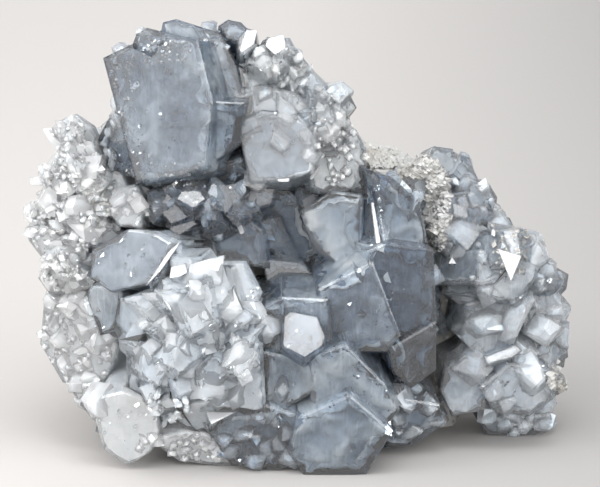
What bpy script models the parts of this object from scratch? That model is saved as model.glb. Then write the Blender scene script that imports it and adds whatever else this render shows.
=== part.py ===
"""Celestite crystal cluster: pale blue crystals grown together on one face of a broken piece of host rock.

The specimen stands on the flat break under its rock and shows its crystals to the front, towards -Y.
Metres, +Z up, origin under the middle of the specimen, on the surface it stands on.
"""

import math
import random

import bmesh
import bpy
from mathutils import Matrix, Vector, noise

MM = 0.001

# Driving dimensions
WIDTH = 120 * MM  # of the whole specimen, left to right
CREVICE = 0.3 * MM  # left between one solid and the next

# The rock. Its outline in the front view is given as distances in millimetres from its middle,
# at equal angles, from the right and anticlockwise.
ROCK_MIDDLE = Vector((0, 8 * MM, 38 * MM))
ROCK_OUTLINE_MM = (
    44, 40, 38, 33, 30, 33, 40, 50, 54, 51, 48, 49, 50, 50, 50, 52, 54, 52, 51, 52, 54, 54, 54, 50,
)
ROCK_BACK = 27 * MM  # from the middle of the rock to its back
ROCK_FRONT = 8 * MM  # from the middle of the rock to its face under the crystals
ROCK_DETAIL = 4  # subdivisions of the sphere it is shaped from
ROCK_WEAR = 2  # passes that round its edges
BOXY = 0.72  # under 1 squares the rock's section off
DOMED = 0.6  # under 1 keeps it thick towards its outline
ROCK_LUMPS_MM = ((18, 2.5), (9, 2.5))  # width and height of the swellings
ROCK_LEDGES_MM = (13, 3)  # width and depth of the folds between them
# Flat breaks on its back and sides: degrees right of the front, degrees up, millimetres from its middle
ROCK_BREAKS = (
    (176, 6, 25), (146, -18, 31), (212, 20, 31), (118, 12, 45), (240, -8, 47), (170, 52, 37),
    (192, -46, 36), (138, 38, 39), (222, -34, 42), (100, -20, 51), (258, 22, 51), (205, 64, 47),
)

# The front view. Crystal outlines are given as columns and rows of the reference picture.
PICTURE_COLUMNS, PICTURE_ROWS = 600, 487
LEFT_COLUMN, RIGHT_COLUMN = 35, 573  # the specimen's own edges in it
PIXEL = WIDTH / (RIGHT_COLUMN - LEFT_COLUMN)
EYE_DISTANCE = 0.6
EYE_ELEVATION = math.radians(15)
AIM = Vector((-0.9 * MM, 0, 44.8 * MM))  # what the middle of the picture shows

FORWARD = Vector((0, math.cos(EYE_ELEVATION), -math.sin(EYE_ELEVATION)))
RIGHT = Vector((1, 0, 0))
UP = RIGHT.cross(FORWARD)
EYE = AIM - FORWARD * EYE_DISTANCE

CORE = Vector((0, 14 * MM, 38 * MM))  # crystals grow away from here
GLINT = {"yaw": 3, "pitch": 43}  # faces turned up alike, which catch the same light from above

# Small pointed crystals: the directions of their sides and of the faces of the point, in degrees round
# the crystal, and how steeply the point's faces lean, in degrees
SIDES = (38, 142, 218, 322)
POINT_FACES = (15, 135, 255)
POINT_LEAN = (34, 56)


def ray(column, row):
    """The direction in which the eye sees a place of the picture."""
    across = (column - PICTURE_COLUMNS / 2) * PIXEL
    above = (PICTURE_ROWS / 2 - row) * PIXEL
    return FORWARD * EYE_DISTANCE + RIGHT * across + UP * above


def seen_at(column, row, depth):
    """The point at this place of the picture that lies depth behind the specimen's middle plane."""
    direction = ray(column, row)
    return EYE + direction * ((depth - EYE.y) / direction.y)


def seen_on(column, row, point, normal):
    """The point at this place of the picture on the plane through point."""
    direction = ray(column, row)
    return EYE + direction * ((point - EYE).dot(normal) / direction.dot(normal))


def facing(yaw, pitch):
    """The outward normal of a face turned yaw degrees to the right and pitch degrees up from the front."""
    turned, raised = math.radians(yaw), math.radians(pitch)
    return Vector(
        (math.sin(turned) * math.cos(raised), -math.cos(turned) * math.cos(raised), math.sin(raised))
    )


def cut_flat(bm, point, normal):
    """Takes away what lies beyond the plane and closes the cut."""
    cut = bmesh.ops.bisect_plane(
        bm,
        geom=bm.verts[:] + bm.edges[:] + bm.faces[:],
        dist=0.001 * MM,
        plane_co=point,
        plane_no=normal,
        clear_outer=True,
    )
    edges = [piece for piece in cut["geom_cut"] if isinstance(piece, bmesh.types.BMEdge)]
    if len(edges) > 2:
        bmesh.ops.edgeloop_fill(bm, edges=edges)


def finished(bm, name):
    """The bmesh as a mesh with its normals outward."""
    bmesh.ops.recalc_face_normals(bm, faces=bm.faces[:])
    mesh = bpy.data.meshes.new(name)
    bm.to_mesh(mesh)
    bm.free()
    return mesh


def crystal_mesh(planes, grow, name):
    """The convex crystal inside these planes, each a point and an outward normal, all moved out by grow."""
    middle = sum((point for point, _ in planes), Vector()) / len(planes)
    bm = bmesh.new()
    bmesh.ops.create_cube(bm, size=WIDTH, matrix=Matrix.Translation(middle))
    for point, normal in planes:
        cut_flat(bm, point + normal * grow, normal)
    cut_flat(bm, Vector((0, 0, -grow)), Vector((0, 0, -1)))
    return finished(bm, name)


def blocky(outline, depth, yaw=0, pitch=0, length=20, flare=4, chamfer=0.6):
    """Planes of a blocky or tabular crystal whose front face has this outline in the picture.

    The face lies depth millimetres behind the middle plane, and the crystal reaches length millimetres
    back from it. Its sides spread by flare degrees, and the edges of the face are bevelled by chamfer.
    """
    normal = facing(yaw, pitch)
    middle = seen_at(
        sum(column for column, _ in outline) / len(outline),
        sum(row for _, row in outline) / len(outline),
        depth * MM,
    )
    corners = [seen_on(column, row, middle, normal) for column, row in outline]
    inward = (-normal * 0.75 + (CORE - middle).normalized() * 0.25).normalized()
    spread = math.tan(math.radians(flare))
    planes = [(middle, normal), (middle + inward * length * MM, inward)]
    for start, end in zip(corners, corners[1:] + corners[:1]):
        side = (end - start).cross(inward).normalized()
        if side.dot(start - middle) < 0:
            side = -side
        side = (side - inward * spread).normalized()
        planes.append((start, side))
        planes.append((start - side * chamfer * MM * 0.5, (side + normal).normalized()))
    return planes


def pointed(middle, axis, width, length, rng):
    """Planes of a small crystal with rhombic sides and a low three-faced point, grown along axis."""
    across = axis.orthogonal().normalized()
    across.rotate(Matrix.Rotation(rng.uniform(0, math.tau), 3, axis))
    beside = axis.cross(across)
    planes = [(middle - axis * length / 2, -axis)]
    for degrees in SIDES:
        angle = math.radians(degrees + rng.uniform(-4, 4))
        side = across * math.cos(angle) + beside * math.sin(angle)
        planes.append((middle + side * width / 2 * rng.uniform(0.75, 1.1), side))
    for degrees in POINT_FACES:
        angle = math.radians(degrees + rng.uniform(-20, 20))
        tilt = math.radians(rng.uniform(*POINT_LEAN))
        outward = across * math.cos(angle) + beside * math.sin(angle)
        face = axis * math.cos(tilt) + outward * math.sin(tilt)
        planes.append((middle + face * length / 2 * rng.uniform(0.7, 0.95), face))
    return planes


def druse(seed, count, middle, radii, depth, sizes, bulge=4, lean=0.5):
    """Small pointed crystals crowded in an ellipse of the picture, on a surface that bulges forward."""
    rng = random.Random(seed)
    crowd = []
    for number in range(count):
        turn = number * math.radians(137.5)
        share = math.sqrt((number + 0.5) / count)
        column = middle[0] + radii[0] * share * math.cos(turn)
        row = middle[1] + radii[1] * share * math.sin(turn)
        place = seen_at(column, row, (depth + bulge * (share**2 - 0.5) + rng.uniform(-1, 1)) * MM)
        axis = (place - CORE).normalized() + Vector([rng.uniform(-lean, lean) for _ in range(3)])
        axis.y -= 0.4
        width = rng.uniform(*sizes) * MM
        crowd.append(pointed(place, axis.normalized(), width, width * rng.uniform(1.4, 2.0), rng))
    return crowd


def rim(seed, count, start, end, depth, sizes):
    """A chain of pointed crystals round the rock's edge, between two angles of the front view."""
    rng = random.Random(seed)
    crowd = []
    for number in range(count):
        angle = math.radians(start + (end - start) * (number + rng.uniform(0.3, 0.7)) / count)
        out = Vector((math.cos(angle), 0, math.sin(angle)))
        place = ROCK_MIDDLE + out * (rock_radius(angle) - 1 * MM)
        place.y = (depth + rng.uniform(-1.5, 1.5)) * MM
        axis = out + Vector((rng.uniform(-0.3, 0.3), rng.uniform(-0.5, 0.3), rng.uniform(-0.3, 0.3)))
        width = rng.uniform(*sizes) * MM
        crowd.append(pointed(place, axis.normalized(), width, width * rng.uniform(1.5, 1.9), rng))
    return crowd


def rock_radius(angle):
    """How far the rock reaches from its middle at this angle of the front view."""
    step = (angle / math.tau * len(ROCK_OUTLINE_MM)) % len(ROCK_OUTLINE_MM)
    low = int(step)
    share = step - low
    share = share * share * (3 - 2 * share)
    here, there = ROCK_OUTLINE_MM[low], ROCK_OUTLINE_MM[(low + 1) % len(ROCK_OUTLINE_MM)]
    return (here + (there - here) * share) * MM


def rock_mesh(grow):
    """The host rock, flat under its foot and rough elsewhere, with its surface moved out by grow."""
    bm = bmesh.new()
    bmesh.ops.create_icosphere(bm, subdivisions=ROCK_DETAIL, radius=1)
    for vert in bm.verts:
        way = vert.co.normalized()
        around = math.hypot(way.x, way.z)
        angle = math.atan2(way.z, way.x)
        reach = rock_radius(angle) * around**BOXY
        thick = (ROCK_BACK if way.y > 0 else ROCK_FRONT) * abs(way.y) ** DOMED
        place = ROCK_MIDDLE + Vector(
            (math.cos(angle) * reach, math.copysign(thick, way.y), math.sin(angle) * reach)
        )
        for yaw, pitch, distance in ROCK_BREAKS:
            normal = facing(yaw, pitch)
            place -= normal * max(0, (place - ROCK_MIDDLE).dot(normal) - distance * MM)
        lumps = sum(noise.noise(place / (width * MM)) * height for width, height in ROCK_LUMPS_MM)
        width, depth = ROCK_LEDGES_MM
        fold = abs(noise.noise(place / (width * MM) + Vector((7, 3, 1)))) * depth
        vert.co = place + way * (lumps - fold) * MM
    for _ in range(ROCK_WEAR):
        bmesh.ops.smooth_vert(
            bm, verts=bm.verts[:], factor=0.5, use_axis_x=True, use_axis_y=True, use_axis_z=True
        )
    bm.normal_update()
    for vert in bm.verts:
        vert.co += vert.normal * grow
    cut_flat(bm, Vector((0, 0, -grow)), Vector((0, 0, -1)))
    return finished(bm, "rock")


def summit():
    """The tall tablets at the upper left."""
    return [
        blocky(
            [(102, 59), (161, 31), (197, 41), (212, 106), (206, 167), (181, 177), (136, 182)],
            -17, -12, 8, 22,
        ),
        blocky([(165, 100), (244, 104), (238, 146), (209, 168), (160, 178)], -16.5, 6, -3, 14),
        blocky(
            [(163, 23), (176, 19), (222, 35), (238, 70), (246, 108), (200, 112), (158, 50)],
            -8, 4, 8, 8,
        ),
        blocky([(150, 60), (225, 55), (244, 110), (230, 150), (150, 165), (120, 110)], -4, 0, 10, 16),
        blocky([(133, 44), (137, 34), (147, 28), (158, 31), (164, 42), (150, 52)], -14.5, 0, 30, 9),
        blocky([(219, 26), (228, 20), (241, 23), (250, 33), (241, 43), (226, 40)], -5, 5, 20, 9),
        blocky(
            [(237, 50), (238, 38), (247, 28), (256, 31), (256, 44), (243, 54)],
            -7, length=10, **GLINT,
        ),
        blocky([(93, 146), (120, 98), (130, 130), (136, 178), (108, 168)], -9, -35, 10, 14),
    ]


def shoulder():
    """The pale crystals that fall from the summit to the bare ridge of rock."""
    return [
        blocky([(231, 60), (262, 44), (284, 58), (288, 82), (262, 92), (238, 88)], -6, 10, 25, 16),
        blocky([(264, 40), (290, 38), (302, 62), (286, 66), (268, 56)], -3, 25, 35, 14),
        blocky([(284, 60), (304, 60), (318, 78), (318, 96), (292, 94)], -3, 35, 20, 16),
        blocky([(232, 92), (262, 84), (298, 94), (316, 118), (292, 142), (250, 126)], -9, 5, 15, 18),
        blocky(
            [(236, 124), (262, 110), (300, 115), (318, 142), (310, 172), (280, 182), (250, 182)],
            -13, -5, 10,
        ),
        blocky([(300, 96), (324, 94), (344, 116), (352, 150), (334, 164), (310, 150)], -6, 25, 10, 16),
        blocky([(310, 152), (348, 150), (360, 180), (340, 200), (312, 188)], -9, 10, 5, 14),
        blocky([(346, 140), (356, 130), (366, 150), (366, 195), (350, 200)], -7, 20, 5, 14),
        *druse(11, 9, (320, 124), (19, 32), -5, (5, 7)),
        *druse(12, 6, (270, 68), (18, 16), -4, (5, 6)),
    ]


def deep():
    """The dark, clear crystals far back between the others."""
    return [
        blocky(
            [(232, 203), (268, 178), (300, 200), (328, 245), (340, 276), (326, 292), (270, 262), (236, 238)],
            -3, -8, -10, 12,
        ),
        blocky(
            [(152, 182), (206, 168), (240, 150), (250, 190), (228, 216), (172, 214), (150, 200)],
            -9, 0, -20, 14,
        ),
        blocky([(180, 216), (232, 206), (262, 232), (266, 268), (226, 262), (184, 244)], -10, 0, 5, 14),
        blocky([(240, 186), (262, 178), (276, 186), (272, 204), (250, 212), (238, 206)], -7, 0, 10, 10),
        blocky([(262, 258), (300, 262), (334, 292), (318, 300), (268, 290)], -8, 0, 10, 12),
        blocky([(296, 190), (308, 170), (322, 182), (316, 212), (302, 205)], -6, length=8, **GLINT),
        blocky([(262, 220), (280, 216), (300, 262), (292, 275), (270, 250)], -5, 15, 0, 8),
        *druse(21, 9, (200, 208), (45, 18), -11, (5, 7)),
    ]


def centre():
    """The large blue blocks right of the middle, down to the foot."""
    return [
        blocky(
            [(300, 212), (330, 192), (362, 196), (360, 246), (342, 268), (316, 252)],
            -12, -12, 5, 20,
        ),
        blocky([(374, 172), (392, 178), (420, 204), (427, 243), (386, 250), (380, 215)], -14, 8, 5, 20),
        blocky([(364, 172), (374, 172), (386, 250), (376, 252), (364, 232)], -13, -50, 20, 14),
        blocky(
            [(366, 252), (386, 244), (433, 250), (436, 322), (402, 338), (372, 302)],
            -20, 10, -2, 28, flare=0,
        ),
        blocky(
            [(318, 290), (372, 262), (400, 336), (386, 352), (330, 352), (316, 322)],
            -24, -5, 0, 30,
        ),
        blocky([(388, 350), (436, 322), (436, 370), (412, 388), (394, 374)], -20, 20, -10, 22, flare=0),
        blocky(
            [(312, 356), (345, 345), (384, 384), (399, 411), (376, 440), (330, 432), (312, 400)],
            -28, 5, -5, 32,
        ),
        blocky(
            [(298, 418), (350, 396), (392, 432), (366, 474), (308, 481), (288, 452)],
            -29, 0, -12, 32,
        ),
        blocky(
            [(282, 346), (284, 316), (291, 311), (318, 316), (326, 336), (323, 346), (305, 358)],
            -30, length=14, **GLINT,
        ),
        blocky([(258, 310), (282, 298), (328, 300), (334, 350), (300, 368), (262, 352)], -26, 0, 5, 22),
        blocky(
            [(250, 362), (262, 352), (312, 360), (314, 392), (280, 412), (252, 398)],
            -28, -5, -5, 22,
        ),
        blocky(
            [(200, 420), (252, 402), (300, 416), (304, 460), (282, 470), (232, 466)],
            -27, 0, -15, 30,
        ),
        blocky([(392, 432), (405, 400), (440, 405), (444, 425), (412, 446), (385, 448)], -16, 15, -20),
    ]


def rosette():
    """The rounded ball of pale crystals at the lower left, with the blue face above it."""
    return [
        blocky(
            [(92, 250), (128, 230), (158, 232), (176, 240), (154, 284), (112, 292), (90, 278)],
            -21, -12, 18,
        ),
        blocky([(150, 284), (170, 243), (181, 240), (181, 251), (155, 284)], -23, length=9, **GLINT),
        blocky([(168, 280), (173, 270), (186, 263), (188, 275)], -26, length=9, **GLINT),
        blocky([(208, 348), (262, 344), (266, 412), (216, 412), (196, 384)], -31, 12, -5, 32),
        blocky(
            [(150, 330), (190, 318), (212, 348), (200, 384), (168, 392), (146, 362)],
            -31, -8, 0, 32,
        ),
        blocky(
            [(160, 290), (206, 280), (232, 300), (222, 336), (190, 330), (160, 318)],
            -30, -4, 20, 32,
        ),
        blocky([(206, 262), (246, 262), (262, 292), (248, 322), (222, 318), (208, 290)], -26, 12, 20),
        blocky([(118, 300), (150, 292), (164, 322), (150, 360), (126, 352), (112, 326)], -26, -30, 5),
        blocky([(126, 352), (168, 390), (176, 420), (150, 424), (128, 398)], -25, -25, -20),
        blocky([(168, 388), (214, 404), (222, 424), (196, 432), (172, 424)], -29, 0, -30, 22),
        blocky([(86, 296), (92, 285), (120, 290), (118, 330), (100, 335)], -20, -20, 0, 18),
        blocky([(206, 412), (228, 410), (210, 426)], -29, length=8, **GLINT),
        *druse(31, 18, (200, 335), (56, 66), -26, (7, 10), bulge=8, lean=0.3),
    ]


def left():
    """The sugary white crystals down the left edge and the grey mass and white knob below them."""
    return [
        blocky(
            [(44, 302), (72, 292), (108, 306), (118, 350), (100, 392), (62, 382), (40, 344)],
            -13, -25, 0, 24, flare=0,
        ),
        blocky(
            [(98, 398), (124, 392), (152, 403), (159, 430), (150, 452), (128, 466), (104, 450), (96, 420)],
            -25, -8, -5, 24,
        ),
        blocky(
            [(150, 440), (190, 432), (230, 440), (256, 460), (240, 468), (180, 462)],
            -23, 0, -20, 22,
        ),
        blocky([(66, 384), (100, 385), (120, 410), (118, 434), (92, 420)], -15, -20, -15, 22),
        blocky([(50, 200), (56, 160), (76, 135), (96, 142), (100, 175), (76, 200)], -6, -30, 15),
        blocky([(48, 205), (79, 200), (98, 215), (92, 250), (64, 262), (46, 240)], -8, -30, 0, flare=0),
        blocky(
            [(44, 262), (66, 258), (90, 252), (88, 290), (64, 298), (46, 290)],
            -10, -25, 0, flare=0,
        ),
        blocky([(98, 172), (118, 165), (128, 190), (118, 206), (100, 200)], -9, -5, 5, 14),
        blocky(
            [(112, 190), (135, 185), (146, 205), (140, 228), (118, 226), (108, 208)],
            -12, 0, 10, 16,
        ),
        *druse(41, 18, (80, 212), (24, 78), -8, (6, 8)),
        *rim(61, 14, 130, 232, 2, (8, 10)),
    ]


def right():
    """The triangular mass on the right, past the dark cleft."""
    return [
        blocky([(430, 168), (454, 152), (470, 162), (482, 188), (468, 200), (438, 192)], 4, 10, 20),
        blocky(
            [(434, 232), (447, 195), (470, 192), (484, 215), (474, 250), (448, 262)],
            -3, 5, 5, flare=0,
        ),
        blocky([(480, 195), (500, 205), (512, 232), (500, 240), (482, 218)], 2, 30, 10, 18),
        blocky(
            [(456, 275), (470, 244), (496, 236), (510, 283), (500, 300), (468, 300)],
            -6, -5, 5, 22, flare=0,
        ),
        blocky([(496, 246), (526, 256), (516, 284), (510, 283)], -7, length=10, **GLINT),
        blocky([(516, 258), (538, 300), (530, 325), (512, 310), (508, 285)], -2, 30, 5),
        blocky(
            [(466, 305), (508, 292), (522, 318), (516, 346), (480, 360), (460, 338)],
            -10, 0, 5, 22, flare=0,
        ),
        blocky([(518, 318), (540, 308), (556, 340), (560, 362), (545, 362), (520, 345)], -3, 30, 0),
        blocky([(485, 356), (515, 344), (522, 350), (512, 358), (490, 363)], -13, length=9, **GLINT),
        blocky([(480, 388), (510, 364), (550, 370), (556, 396), (530, 416), (496, 412)], -13, 5, 0, 24),
        blocky(
            [(444, 366), (466, 356), (492, 376), (484, 410), (452, 416), (440, 392)],
            -12, -8, 5, 22, flare=0,
        ),
        blocky([(478, 420), (550, 414), (554, 426), (530, 438), (486, 434)], -2, 5, -20, 18),
        *druse(51, 12, (528, 325), (20, 52), -1, (6, 8)),
        *druse(52, 6, (495, 275), (28, 42), -5, (7, 9)),
        *rim(62, 10, -36, 42, 4, (7, 9)),
    ]


# Each group's crystals have grown through each other. Those named first stand in front.
GROUPS = {
    "rosette_crystals": (rosette, (0.62, 0.69, 0.75)),
    "centre_crystals": (centre, (0.40, 0.48, 0.57)),
    "summit_crystals": (summit, (0.52, 0.60, 0.68)),
    "right_crystals": (right, (0.55, 0.60, 0.66)),
    "shoulder_crystals": (shoulder, (0.66, 0.70, 0.73)),
    "left_crystals": (left, (0.78, 0.78, 0.77)),
    "deep_crystals": (deep, (0.26, 0.31, 0.37)),
}
CRYSTAL_ROUGHNESS = 0.1
ROCK_COLOUR, ROCK_ROUGHNESS = (0.62, 0.60, 0.55), 0.9


def finish(name, colour, roughness):
    """A plain finish of one colour."""
    material = bpy.data.materials.new(name)
    material.use_nodes = True
    shader = material.node_tree.nodes["Principled BSDF"]
    shader.inputs["Base Color"].default_value = (*colour, 1)
    shader.inputs["Roughness"].default_value = roughness
    shader.inputs["Metallic"].default_value = 0
    return material


def placed(mesh, name, collection):
    """The mesh as an object of this name, in this collection."""
    thing = bpy.data.objects.new(name, mesh)
    collection.objects.link(thing)
    return thing


def new_collection(name):
    """An empty collection in the scene."""
    collection = bpy.data.collections.new(name)
    bpy.context.scene.collection.children.link(collection)
    return collection


def empty(collection):
    """Removes the collection's objects."""
    for thing in list(collection.objects):
        bpy.data.objects.remove(thing)


def combine(thing, operation, operands):
    """Joins every operand to the thing, or cuts them all from it."""
    modifier = thing.modifiers.new(operation.title(), "BOOLEAN")
    modifier.operation = operation
    modifier.solver = "EXACT"
    modifier.operand_type = "COLLECTION"
    modifier.collection = operands
    graph = bpy.context.evaluated_depsgraph_get()
    mesh = bpy.data.meshes.new_from_object(thing.evaluated_get(graph))
    thing.modifiers.remove(modifier)
    thing.data = mesh


def bodies_of(bm):
    """The faces of each separate body in the bmesh."""
    bodies, seen = [], set()
    for first in bm.faces:
        if first in seen:
            continue
        body, front = [], [first]
        seen.add(first)
        while front:
            here = front.pop()
            body.append(here)
            beyond = {other for edge in here.edges for other in edge.link_faces} - seen
            seen |= beyond
            front.extend(beyond)
        bodies.append(body)
    return bodies


def volume(faces):
    """What these faces enclose."""
    total = 0
    for face in faces:
        points = [loop.vert.co for loop in face.loops]
        for second, third in zip(points[1:], points[2:]):
            total += points[0].dot(second.cross(third)) / 6
    return total


def drop_chips(mesh):
    """Leaves only the largest body of the mesh."""
    bm = bmesh.new()
    bm.from_mesh(mesh)
    bmesh.ops.remove_doubles(bm, verts=bm.verts[:], dist=0.0005 * MM)
    chips = sorted(bodies_of(bm), key=volume)[:-1]
    bmesh.ops.delete(bm, geom=[face for chip in chips for face in chip], context="FACES")
    bm.to_mesh(mesh)
    bm.free()


def main():
    for thing in list(bpy.data.objects):
        bpy.data.objects.remove(thing)
    specimen = new_collection("celestite_cluster")
    members = new_collection("crystals of one group")
    in_the_way = new_collection("room for the rock and the crystals in front")

    rock = placed(rock_mesh(0), "matrix", specimen)
    rock.data.materials.append(finish("matrix", ROCK_COLOUR, ROCK_ROUGHNESS))
    placed(rock_mesh(CREVICE), "room for the rock", in_the_way)

    for name, (group, colour) in GROUPS.items():
        first, *others = group()
        body = placed(crystal_mesh(first, 0, name), name, specimen)
        for number, planes in enumerate(others):
            placed(crystal_mesh(planes, 0, name), f"{name} {number}", members)
        combine(body, "UNION", members)
        combine(body, "DIFFERENCE", in_the_way)
        drop_chips(body.data)
        body.data.materials.clear()
        body.data.materials.append(finish(name, colour, CRYSTAL_ROUGHNESS))
        empty(members)
        for number, planes in enumerate([first, *others]):
            placed(crystal_mesh(planes, CREVICE, name), f"room for {name} {number}", in_the_way)
    empty(in_the_way)

    corners = [vert.co for thing in specimen.objects for vert in thing.data.vertices]
    centred = Vector(
        (
            -(min(corner.x for corner in corners) + max(corner.x for corner in corners)) / 2,
            -(min(corner.y for corner in corners) + max(corner.y for corner in corners)) / 2,
            -min(corner.z for corner in corners),
        )
    )
    for thing in specimen.objects:
        thing.data.transform(Matrix.Translation(centred))


main()
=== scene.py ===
"""Looks of the celestite crystal cluster: glassy blue crystals, crusts of small ones and rough host rock."""

import math
import random

import bmesh
import bpy
from mathutils import Matrix, Vector, noise
from mathutils.bvhtree import BVHTree


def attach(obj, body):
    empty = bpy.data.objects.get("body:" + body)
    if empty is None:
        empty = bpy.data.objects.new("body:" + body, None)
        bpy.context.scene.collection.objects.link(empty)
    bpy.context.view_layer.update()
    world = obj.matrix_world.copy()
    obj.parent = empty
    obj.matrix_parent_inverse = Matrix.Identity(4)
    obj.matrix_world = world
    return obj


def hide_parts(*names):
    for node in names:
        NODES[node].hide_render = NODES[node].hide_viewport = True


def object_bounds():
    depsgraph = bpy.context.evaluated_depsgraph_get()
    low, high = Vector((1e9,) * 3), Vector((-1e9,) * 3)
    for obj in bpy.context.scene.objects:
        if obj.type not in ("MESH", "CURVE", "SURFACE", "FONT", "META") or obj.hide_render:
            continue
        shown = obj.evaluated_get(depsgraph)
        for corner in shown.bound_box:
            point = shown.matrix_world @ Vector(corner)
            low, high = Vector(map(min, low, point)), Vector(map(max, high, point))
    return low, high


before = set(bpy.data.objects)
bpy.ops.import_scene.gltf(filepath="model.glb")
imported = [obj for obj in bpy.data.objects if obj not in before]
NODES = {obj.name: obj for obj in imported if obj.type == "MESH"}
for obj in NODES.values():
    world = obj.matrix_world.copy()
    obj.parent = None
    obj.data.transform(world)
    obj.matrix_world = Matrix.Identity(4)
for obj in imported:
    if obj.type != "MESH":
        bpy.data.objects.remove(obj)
CAD_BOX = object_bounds()

MM = 0.001

# The camera: a long lens a little above the specimen
COLUMNS, ROWS = 600, 487  # of the picture
PIXEL = 120 * MM / 538  # the specimen is 120 mm and 538 columns wide
EYE_DISTANCE = 0.6  # metres
EYE_ELEVATION = math.radians(15)
AIM = Vector((0.1 * MM, 2.75 * MM, 44.8 * MM))
SENSOR = 36  # millimetres wide
FORWARD = Vector((0, math.cos(EYE_ELEVATION), -math.sin(EYE_ELEVATION)))
RIGHT = Vector((1, 0, 0))
UP = RIGHT.cross(FORWARD)
EYE = AIM - FORWARD * EYE_DISTANCE

CRYSTAL_NODES = [name for name in NODES if name.endswith("_crystals")]
CORE = Vector((0, 17 * MM, 38 * MM))  # crystals grow away from here


def ray(column, row):
    """The direction in which the camera sees a place of the picture."""
    across = (column - COLUMNS / 2) * PIXEL
    above = (ROWS / 2 - row) * PIXEL
    return (FORWARD * EYE_DISTANCE + RIGHT * across + UP * above).normalized()


def seen(place):
    """The column and row of the picture where the camera sees this place."""
    way = place - EYE
    scale = EYE_DISTANCE / way.dot(FORWARD) / PIXEL
    return COLUMNS / 2 + way.dot(RIGHT) * scale, ROWS / 2 - way.dot(UP) * scale


# Shader helpers


FLOAT, COLOUR = "NodeSocketFloat", "NodeSocketColor"
FACET = "facet"  # the name of the random shade that every facet has


class Nodes:
    """A node tree, with short calls for the nodes that this script needs most."""

    def __init__(self, tree):
        self.tree = tree

    def node(self, kind, settings=None, **links):
        """A node with these settings. Its inputs, by name or as i and a number, take values or outputs."""
        node = self.tree.nodes.new("ShaderNode" + kind)
        for key, value in (settings or {}).items():
            setattr(node, key, value)
        for key, value in links.items():
            socket = node.inputs[int(key[1:]) if key[1:].isdigit() else key]
            if isinstance(value, bpy.types.NodeSocket):
                self.tree.links.new(value, socket)
            else:
                socket.default_value = value
        return node

    def place(self):
        """The place on the object, in its own coordinates."""
        return self.node("TexCoord").outputs["Object"]

    def clouds(self, place, **values):
        """Soft noise from 0 to 1."""
        return self.node("TexNoise", i0=place, **values).outputs[0]

    def ranged(self, value, low, high, first, last):
        """The value, moved from the range low to high to the range first to last."""
        return self.node("MapRange", i0=value, i1=low, i2=high, i3=first, i4=last).outputs[0]

    def mixed(self, share, first, second):
        """The colour between first and second."""
        return self.node("Mix", {"data_type": "RGBA"}, i0=share, i6=first, i7=second).outputs[2]

    def sum_of(self, value, factor, other):
        """The value times the factor, plus the other."""
        return self.node("Math", {"operation": "MULTIPLY_ADD"}, i0=value, i1=factor, i2=other).outputs[0]


class Group(Nodes):
    """A shader node group being built, with its named inputs and outputs."""

    def __init__(self, name, inputs):
        super().__init__(bpy.data.node_groups.new(name, "ShaderNodeTree"))
        for label, kind, value in inputs:
            socket = self.tree.interface.new_socket(label, in_out="INPUT", socket_type=kind)
            socket.default_value = value
        for label, kind in (("Colour", COLOUR), ("Roughness", FLOAT), ("Height", FLOAT)):
            self.tree.interface.new_socket(label, in_out="OUTPUT", socket_type=kind)
        self.given = self.tree.nodes.new("NodeGroupInput").outputs

    def finished(self, colour, roughness, height):
        """The group's tree, with these as its outputs."""
        result = self.tree.nodes.new("NodeGroupOutput").inputs
        self.tree.links.new(colour, result["Colour"])
        self.tree.links.new(roughness, result["Roughness"])
        self.tree.links.new(height, result["Height"])
        return self.tree


def growth_group():
    """Clouds, growth lines and fine grain inside and on a crystal."""
    group = Group(
        "crystal growth",
        [
            ("Clear Colour", COLOUR, (0.5, 0.6, 0.7, 1)),
            ("Cloud Colour", COLOUR, (0.8, 0.85, 0.88, 1)),
            ("Cloud Size", FLOAT, 90),
            ("Cloudiness", FLOAT, 0.5),
            ("Polish", FLOAT, 0.05),
            ("Frosting", FLOAT, 0.25),
            ("Facet Shade", FLOAT, 0.86),
        ],
    )
    given = group.given
    place = group.place()
    cloud = group.clouds(place, Scale=given["Cloud Size"], Detail=6, Roughness=0.62)
    cloud = group.ranged(cloud, 0.38, 0.66, 0, 1)
    wisp = group.clouds(place, Scale=320, Detail=4, Roughness=0.7, Distortion=1.5)
    wisp = group.ranged(wisp, 0.5, 0.68, 0, 0.6)
    milk = group.node("Math", {"operation": "MAXIMUM"}, i0=cloud, i1=wisp).outputs[0]
    milk = group.node("Math", {"operation": "MULTIPLY"}, i0=milk, i1=given["Cloudiness"]).outputs[0]
    colour = group.mixed(milk, given["Clear Colour"], given["Cloud Colour"])
    facet = group.node("Attribute", {"attribute_name": FACET}).outputs["Fac"]
    shade = group.ranged(facet, 0, 1, given["Facet Shade"], 1)
    colour = group.node("VectorMath", {"operation": "SCALE"}, i0=colour, i3=shade).outputs[0]
    lines = group.node("Mapping", i0=place, i3=(1.0, 0.25, 0.06)).outputs[0]
    lines = group.clouds(lines, Scale=500, Detail=3, Roughness=0.6)
    frost = group.ranged(lines, 0.45, 0.75, given["Polish"], given["Frosting"])
    grain = group.clouds(place, Scale=1500, Detail=3, Roughness=0.6)
    return group.finished(colour, frost, group.sum_of(grain, 0.35, lines))


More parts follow.
